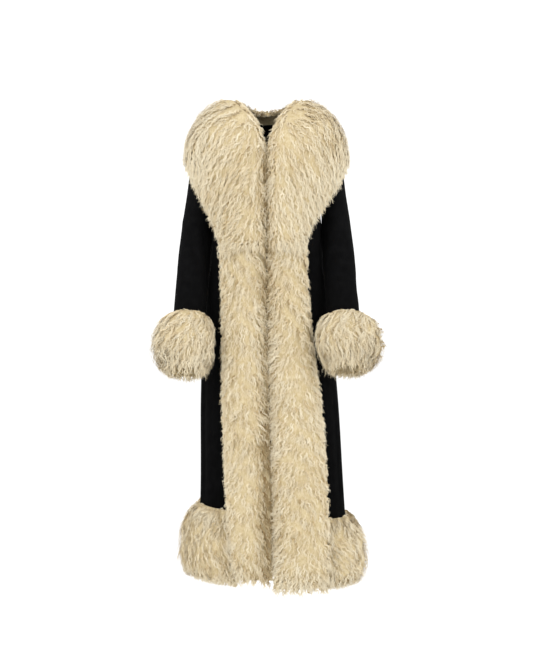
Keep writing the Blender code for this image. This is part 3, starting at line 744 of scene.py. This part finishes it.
# How the fur is combed
LAPEL_STARTS, LAPEL_OVER = 0.5, 0.35  # from the neck's back to the lapel's end, as shares
OUTWARDS, LAPEL_OUTWARDS, INWARDS = 1.1, 0.35, 0.75
TURN_STARTS, TURN_OVER, LAPEL_TURN_OVER = 0.03, 0.16, 0.20
TIP_STRAIGHT, TIP_STARTS, TIP_OVER = 0.7, 0.9, 0.1
COLLAR_FALL, LAPEL_FALL = 0.30, 0.85
BAND_FEATHERED = 1.60
STANDING_OVER, STANDING_ABOVE, STANDING_UP, HANGING_FALL = 0.08, 0.2, 1.9, 0.5
DOWN = np.array([0.0, 0.0, -1.0])


class Pelt:
    """The skin side of a fur piece, its normals and the depth of its fur, read between grid points."""

    def __init__(self, base, hair, wraps=False, level_ends=()):
        away = outward(base, wraps)
        for end in level_ends:
            away[:, end, 2] = 0.0
        if wraps:
            base, hair, away = (np.concatenate([part, part[:, :1]], axis=1) for part in (base, hair, away))
        self.wraps = wraps
        self.away = unit(away)
        self.skin = base + self.away * PELT_GAP
        self.hair = hair * (1 - PARTING_THINNED * parting(base))
        self.down = np.gradient(self.skin, 1 / (len(base) - 1), axis=0)
        self.round = np.gradient(self.skin, 1 / (base.shape[1] - 1), axis=1)

    def read(self, field, across, along):
        """A field of the grid at shares across and along the piece."""
        rows, columns = self.hair.shape
        row = np.clip(across, 0, 1) * (rows - 1)
        column = (along % 1.0 if self.wraps else np.clip(along, 0, 1)) * (columns - 1)
        low_row = np.minimum(row.astype(int), rows - 2)
        low_column = np.minimum(column.astype(int), columns - 2)
        row, column = row - low_row, column - low_column
        if field.ndim == 3:
            row, column = row[..., None], column[..., None]
        return sum(
            field[low_row + down, low_column + right] * (row if down else 1 - row)
            * (column if right else 1 - column) for right in (0, 1) for down in (0, 1)
        )

    def even_places(self, density):
        """Shares across and along, even over the fur's outer side, about density to a square metre."""
        top = self.skin + self.away * self.hair[..., None]
        down, round_it = np.gradient(top, 1 / (len(top) - 1), 1 / (top.shape[1] - 1), axis=(0, 1))
        cells = np.linalg.norm(np.cross(down, round_it), axis=-1)
        columns = np.concatenate([[0], np.cumsum(cells.mean(axis=0))])
        count = int(cells.mean() * density)
        order = np.arange(count)
        along = np.interp((order + 0.5) / count * columns[-1], columns, np.linspace(0, 1, len(columns)))
        column = np.minimum((along * cells.shape[1]).astype(int), cells.shape[1] - 1)
        rows = np.concatenate([np.zeros((1, cells.shape[1])), np.cumsum(cells, axis=0)])
        rows = rows / rows[-1:]
        picks = (order * EVEN_STEP + EVEN_START) % 1.0
        steps = np.linspace(0, 1, len(rows))
        return np.array([np.interp(pick, rows[:, c], steps) for pick, c in zip(picks, column)]), along

    def roots(self, growth, share, random):
        """Places of the locks of a layer, which has this share of the growth's locks."""
        across, along = self.even_places(growth.density * share)
        count = len(across)
        along = along + random.normal(0, STRAY_ALONG / np.sqrt(count), count)
        across = across + random.normal(0, STRAY_ACROSS / np.sqrt(count), count)
        end_locks, edge_locks = growth.end_locks, int(growth.edge_locks * share)
        at_ends = random.uniform(0, SEAM_SHARE, 2 * end_locks)
        at_ends[end_locks:] = 1 - at_ends[end_locks:]
        along = np.concatenate([along, at_ends, random.uniform(0, 1, edge_locks)])
        at_edges = random.uniform(0, EDGE_SHARE, edge_locks)
        at_edges[::LAST_EDGE_EVERY] = 1 - at_edges[::LAST_EDGE_EVERY]
        across = np.concatenate([across, random.uniform(0, 1, 2 * end_locks), at_edges])
        along = along % 1.0 if self.wraps else np.clip(along, END_CLEAR, 1 - END_CLEAR)
        return np.clip(across, EDGE_CLEAR, 1 - EDGE_CLEAR), along


def drift(places, wander):
    """A slow, smooth wander over the fur."""
    x, y, z = np.moveaxis(places * wander.pace, -1, 0)
    start = wander.start
    return wander.strength * ((
        np.sin(x + 1.3 * np.sin(0.8 * z + start) + start)
        + np.sin(1.1 * z - 0.7 * x + 2.1 * start)
        + np.sin(0.9 * y + 0.6 * z + 1.2 * np.sin(x) + 3.3 * start)
    ) / 3)


def parting(places):
    """How near to the parting down the middle of the front, up to 1 in it."""
    return np.exp(-((places[..., 0] / PARTING_WIDTH) ** 2)) * (places[..., 1] < 0)


def way_left(flow, direction, share):
    """How fast a share of the piece grows along the flow, and the metres from there to its end."""
    step = np.sum(flow * direction, axis=-1) / np.sum(direction**2, axis=-1)
    return step, np.where(step > 0, 1 - share, share) / np.maximum(np.abs(step), 1e-6)


Locks = namedtuple(
    "Locks", "across along flow side run height step_across step_along to_edge curl turns tone"
)


def plant_locks(pelt, growth, comb, layer, random, part):
    """Where the locks of a layer stand in a part of a piece, and how each one runs."""
    across, along = pelt.roots(growth, layer.share, random)
    kept = (along >= part[0]) & (along < part[1])
    across, along = across[kept], along[kept]
    count = len(across)
    place = pelt.read(pelt.skin, across, along)
    away = unit(pelt.read(pelt.away, across, along))
    down = pelt.read(pelt.down, across, along)
    round_it = pelt.read(pelt.round, across, along)
    flow = comb(place, across, along, unit(down), unit(round_it))
    flow = unit(flow - away * np.sum(flow * away, axis=-1, keepdims=True))
    side = unit(np.cross(flow, away))
    swirl = drift(place, WIDE_SWIRL) + drift(place, NARROW_SWIRL) + random.normal(0, LOCK_SWIRL, count)
    flow = unit(flow + side * (growth.ruffled * swirl)[:, None])
    side = unit(np.cross(flow, away))

    run = growth.run * random.uniform(*LOCK_RUN, count)
    height = random.uniform(layer.low, layer.high, count)
    step_across, to_edge = way_left(flow, down, across)
    step_along, to_end = way_left(flow, round_it, along)
    past_last = growth.past_last + growth.front_last * rise(-away[:, 1] / 0.5)
    past_first = growth.past_first + growth.back_first * rise(away[:, 1] / 0.3)
    loose = LOOSE_LEAST + LOOSE_MORE * random.uniform(size=count) ** LOOSE_SELDOM
    room = to_edge + np.where(step_across > 0, past_last, past_first) * loose
    if not pelt.wraps:
        room = np.minimum(room, to_end + growth.past_ends * loose)
        to_edge = np.minimum(to_edge, to_end)
    run = np.minimum(run + np.where(step_across > 0, past_last - growth.past_last, 0), room)
    curl = random.uniform(0, 2 * pi, count) + drift(place, CURL_WANDER)
    turns = run / WAVE_LENGTH * random.uniform(*LOCK_TURNS, count)
    tone = 0.5 + drift(place, TONE_WANDER) + random.normal(0, LOCK_TONE, count)
    # Painted shade in the parting: locks rooted there are darker
    tone = tone - PARTING_PAINTED_SHADE * parting(place)
    return Locks(
        across, along, flow, side, run, height, step_across, step_along, to_edge, curl, turns, tone
    )


def strands_of(pelt, locks, layer, random):
    """Ribbons of hair by strand, station and side, with each strand's tone and each station's share."""
    shape = (len(locks.run), layer.strands, 1)

    def each(values, spread=None):
        """A lock's value for each of its strands and stations, with a spread between strands."""
        own_share = 1.0 if spread is None else random.uniform(*spread, shape[:2])
        return (values[:, None] * own_share * np.ones((1, layer.strands)))[..., None]

    spot = random.uniform(0, 2 * pi, shape)
    radius = layer.radius * np.sqrt(random.uniform(STRAND_NEAREST, 1, shape))
    start = each(locks.curl) + random.normal(0, STRAND_START, shape)
    strength = random.uniform(*STRAND_WAVE, shape) * layer.wave
    tone = np.clip(each(locks.tone) + random.normal(0, STRAND_TONE, shape), *TONE_LIMITS)
    twist = random.uniform(-STRAND_TWIST, STRAND_TWIST, shape)
    stray_up = np.minimum(random.exponential(STRAY_UP, shape), STRAY_MOST * STRAY_UP)
    stray_side = random.normal(0, STRAY_SIDE, shape)

    share = np.linspace(0, 1, layer.stations)[None, None, :]
    gone = each(locks.run, STRAND_RUN) * share**1.1
    inside = np.minimum(gone, each(locks.to_edge))
    across = each(locks.across) + each(locks.step_across) * inside
    along = each(locks.along) + each(locks.step_along) * inside
    normal = unit(pelt.read(pelt.away, across, along))
    angle = 2 * pi * each(locks.turns, STRAND_TURNS) * share + start
    curl = rise(WAVES_FROM + share / WAVES_OVER) * strength
    tight = 1 - DRAWN_IN * share
    to_side = WAVE_SIDE * curl * np.sin(angle) + radius * np.cos(spot) * tight + stray_side * share**3
    to_front = WAVE_UP * curl * np.cos(angle) + FLATTENED * radius * np.sin(spot) * tight
    full = np.maximum(pelt.read(pelt.hair, across, along) * each(locks.height) - SUNK, LEAST_HEIGHT)
    full = KEPT_HEIGHT * np.maximum.accumulate(full, axis=-1) + (1 - KEPT_HEIGHT) * full
    up = full * (OUT_AT + (1 - OUT_AT) * (1 - (1 - share) ** 2.5)) + (to_front + stray_up * share**3)
    hang = unit(locks.flow + DOWN * HANG)[:, None, None, :]
    points = pelt.read(pelt.skin, across, along) + hang * (gone - inside)[..., None]
    points = points + normal * up[..., None] + locks.side[:, None, None, :] * to_side[..., None]
    points = points + DOWN * (DROOP * share**2.2)[..., None]

    heading = unit(np.gradient(points, axis=2))
    flat = unit(np.cross(heading, normal))
    edge = np.cross(heading, flat)
    turned = (twist * (TURNED_LEAST + TURNED_MORE * np.sin(angle)))[..., None]
    own_width = 0.5 * layer.width * random.uniform(*STRAND_WIDTH, shape)
    width = (own_width * (1 - TIP_NARROWED * share**3))[..., None]
    out = (flat * np.cos(turned) + edge * np.sin(turned)) * width
    ribbons = np.stack([points - out, points + out], axis=3).reshape(-1, layer.stations, 2, 3)
    return ribbons, tone.reshape(-1), SHOWN_FROM + (1 - SHOWN_FROM) * share[0, 0]


def lock_mesh(name, pelt, growth, comb, finish, seed, part):
    """The long wavy locks of a part of a fur piece over a shorter, softer layer."""
    random = np.random.default_rng(seed)
    points, faces, tones, reaches = [], [], [], []
    first = 0
    for layer in (LONG, SHORT):
        locks = plant_locks(pelt, growth, comb, layer, random, part)
        ribbons, tone, share = strands_of(pelt, locks, layer, random)
        total, stations = ribbons.shape[:2]
        places = np.arange(total)[:, None] * stations + np.arange(stations - 1)[None, :]
        corner = first + places.ravel() * 2
        faces.append(np.stack([corner, corner + 1, corner + 3, corner + 2], axis=1))
        points.append(ribbons.reshape(-1, 3))
        tones.append(np.repeat(tone, stations * 2))
        reaches.append(np.tile(np.repeat(share, 2), total))
        first += ribbons.size // 3
    points, faces, tone, reach = (np.concatenate(run) for run in (points, faces, tones, reaches))
    made = mesh_object(name, points, faces, finish)
    for label, values in (("tone", tone), ("along", reach)):
        layer = made.data.attributes.new(label, "FLOAT", "POINT")
        layer.data.foreach_set("value", values.astype(np.float32))
    sides = np.tile([-TONE_SIDE, TONE_SIDE], len(points) // 2)
    own_tone = np.clip(tone + sides, 0.005, 0.995)
    places = np.stack([own_tone, BAKE_EDGE + (1 - 2 * BAKE_EDGE) * reach], axis=1)
    layer = made.data.uv_layers.new(name="OFBake", do_init=False)
    layer.uv.foreach_set("vector", places[faces.ravel()].astype(np.float32).ravel())
    return made


def under_mesh(name, pelt, finish):
    """The short wool below the locks, as a lumpy shell on the skin."""
    skin, away, hair = (part[:, :-1] if pelt.wraps else part for part in (pelt.skin, pelt.away, pelt.hair))
    skin, away, hair = (part[:, ::2] for part in (skin, away, hair))
    lumps = 1 + drift(skin, WIDE_LUMPS) + drift(skin, NARROW_LUMPS)
    thick = np.maximum(np.maximum(hair * UNDER_SHARE, hair - UNDER_BELOW) * lumps - WOOL_DROP, 0.0)
    outer = skin + away * (PELT_EDGE + thick)[..., None]
    return wall(name, outer, skin, finish, pelt.wraps)


def comb_collar(place, across, along, down, round_it):
    """Out from the neck and down, straighter down towards the lapels' ends, and inwards by the neck."""
    station = np.abs(2 * along - 1)
    lapel = rise((station - LAPEL_STARTS) / LAPEL_OVER)
    turn = rise((across - TURN_STARTS) / (TURN_OVER + LAPEL_TURN_OVER * lapel))
    pull = (OUTWARDS - LAPEL_OUTWARDS * lapel + INWARDS) * turn - INWARDS
    pull = pull * (1 - TIP_STRAIGHT * rise((station - TIP_STARTS) / TIP_OVER))
    return down * pull[:, None] + DOWN * (COLLAR_FALL + LAPEL_FALL * lapel)[:, None]


def comb_band(place, across, along, down, round_it):
    """Down, feathering off to both sides."""
    return DOWN + down * (BAND_FEATHERED * (across - 0.5))[:, None]


def comb_hanging(place, across, along, down, round_it):
    """Down, a little to one side or the other in slow waves. Some of it stands up along the first edge."""
    standing = (1 - rise(across / STANDING_OVER)) * (drift(place, TUFT_WANDER) > STANDING_ABOVE)
    hanging = down * (1 - STANDING_UP * standing)[:, None] + DOWN * HANGING_FALL * (1 - standing)[:, None]
    return hanging + round_it * drift(place, LEAN_WANDER)[:, None]


def grow(name, pelt, growth, comb, finishes, seed, parts=(("_locks", (0, 1)),)):
    """The locks and the short wool of a fur piece, in place of its node. Each part of the locks has a name
    and stands between two shares along the piece."""
    made = [
        lock_mesh(name + label, pelt, growth, comb, finishes["locks"], seed, part) for label, part in parts
    ]
    made.append(under_mesh(name + "_short_wool", pelt, finishes["under"]))
    for piece in made:
        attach(piece, "root")
        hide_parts(name)
    return made


def pelt_grid(columns, rows, wraps=False):
    """Shares along and across a fur piece for a grid with so many points each way."""
    along = np.linspace(0, 1, columns, endpoint=not wraps)[None, :]
    return np.broadcast_arrays(along, np.linspace(0, 1, rows)[:, None])


def make_collar(finishes):
    """The collar, whose locks are one piece on each side."""
    pelt = Pelt(*collar_fur(*pelt_grid(261, 41)), level_ends=(0, -1))
    halves = (("_locks_right", (0, 0.5)), ("_locks_left", (0.5, 1)))
    return grow("fur_collar", pelt, COLLAR_GROWTH, comb_collar, finishes, SEED, halves)


def make_band(name, growth, finishes, seed):
    """A front band. The right one's rows run towards the middle, so that its grid also faces outwards."""
    is_left = name.endswith("left")
    base, hair = band_fur(*pelt_grid(151, 29), is_left)
    if not is_left:
        base, hair = base[::-1], hair[::-1]
    return grow(name, Pelt(base, hair, level_ends=(0,)), growth, comb_band, finishes, seed)


def make_hem(finishes):
    """The fur round the hem, from band to band."""
    pelt = Pelt(*hem_fur(*pelt_grid(261, 29)))
    return grow("fur_hem", pelt, HEM_GROWTH, comb_hanging, finishes, SEED + 3)


def make_cuff(name, depth, last_ring, finishes, seed):
    """A cuff. The right one is made on the left sleeve and mirrored."""
    base, hair = cuff_fur(*pelt_grid(120, 29, wraps=True), depth, last_ring)
    if name.endswith("right"):
        base, hair = base[:, ::-1] * MIRRORED, hair[:, ::-1]
    return grow(name, Pelt(base, hair, wraps=True), CUFF_GROWTH, comb_hanging, finishes, seed)


def make_fur():
    """Every fur piece by its node."""
    finishes = {"locks": fur_finish("cream_locks"), "under": under_finish("cream_short_wool")}
    return {
        "fur_collar": make_collar(finishes),
        "fur_front_left": make_band("fur_front_left", LEFT_BAND_GROWTH, finishes, SEED + 1),
        "fur_front_right": make_band("fur_front_right", RIGHT_BAND_GROWTH, finishes, SEED + 2),
        "fur_hem": make_hem(finishes),
        "fur_cuff_left": make_cuff("fur_cuff_left", CUFF_FUR_LEFT, CUFF_LEFT_TO, finishes, SEED + 4),
        "fur_cuff_right": make_cuff("fur_cuff_right", CUFF_FUR_RIGHT, CUFF_RIGHT_TO, finishes, SEED + 5),
    }


def make_cloth():
    """Every cloth piece by its node."""
    wool = wool_finish("black_wool_nap", 520.0)
    makers = {
        "front_left": make_front, "front_right": make_front, "back": make_back,
        "sleeve_left": make_sleeve, "sleeve_right": make_sleeve,
    }
    made = {node: make(node, wool) for node, make in makers.items()}
    for node, piece in made.items():
        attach(piece, "root")
        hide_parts(node)
    return made


# Stage

def make_floor():
    """A plain pale floor under the coat."""
    half = FLOOR_SIZE / 2
    mesh = bpy.data.meshes.new("floor")
    corners = [(x * half, y * half, FLOOR_Z) for x, y in ((-1, -1), (1, -1), (1, 1), (-1, 1))]
    mesh.from_pydata(corners, [], [(0, 1, 2, 3)])
    pale = Finish("pale_floor")
    pale.put(pale.shader, {"Base Color": FLOOR_WHITE, "Roughness": 0.9, "Specular IOR Level": 0.0})
    mesh.materials.append(pale.material)
    floor = bpy.data.objects.new("floor", mesh)
    bpy.context.scene.collection.objects.link(floor)


def aim(made, place, target):
    """Stands a lamp or camera at a place and turns it to its target."""
    made.location = place
    made.rotation_euler = (target - made.location).to_track_quat("-Z", "Y").to_euler()
    bpy.context.scene.collection.objects.link(made)


def make_light():
    """Soft light all round and three large lamps."""
    world = bpy.data.worlds.new("soft_white")
    world.use_nodes = True
    background = world.node_tree.nodes["Background"]
    background.inputs["Color"].default_value = WHITE
    background.inputs["Strength"].default_value = ROOM_LIGHT
    bpy.context.scene.world = world
    for lamp in LAMPS:
        light = bpy.data.lights.new(lamp.name, "AREA")
        light.energy = lamp.watts
        light.size = lamp.size
        aim(bpy.data.objects.new(lamp.name, light), lamp.place, LAMP_AIM)


def make_camera():
    """A view of the whole front."""
    camera = bpy.data.objects.new("camera", bpy.data.cameras.new("camera"))
    camera.data.lens = LENS
    camera.data.sensor_width = SENSOR
    aim(camera, CAMERA_PLACE, CAMERA_AIM)
    bpy.context.scene.camera = camera
    bpy.context.scene.view_settings.view_transform = "Standard"


make_floor()
make_light()
make_camera()
cloth = make_cloth()
fur = make_fur()

# Each cloth piece's flat cut, its area and the fur that it carries
for node, flat, area, carried in (
    ("back", (0.667, 1.356), 0.695, fur["fur_hem"] + fur["fur_collar"]),
    ("front_left", (0.324, 1.385), 0.338, fur["fur_front_left"]),
    ("front_right", (0.324, 1.385), 0.338, fur["fur_front_right"]),
    ("sleeve_left", (0.522, 0.688), 0.188, fur["fur_cuff_left"]),
    ("sleeve_right", (0.522, 0.688), 0.188, fur["fur_cuff_right"]),
):
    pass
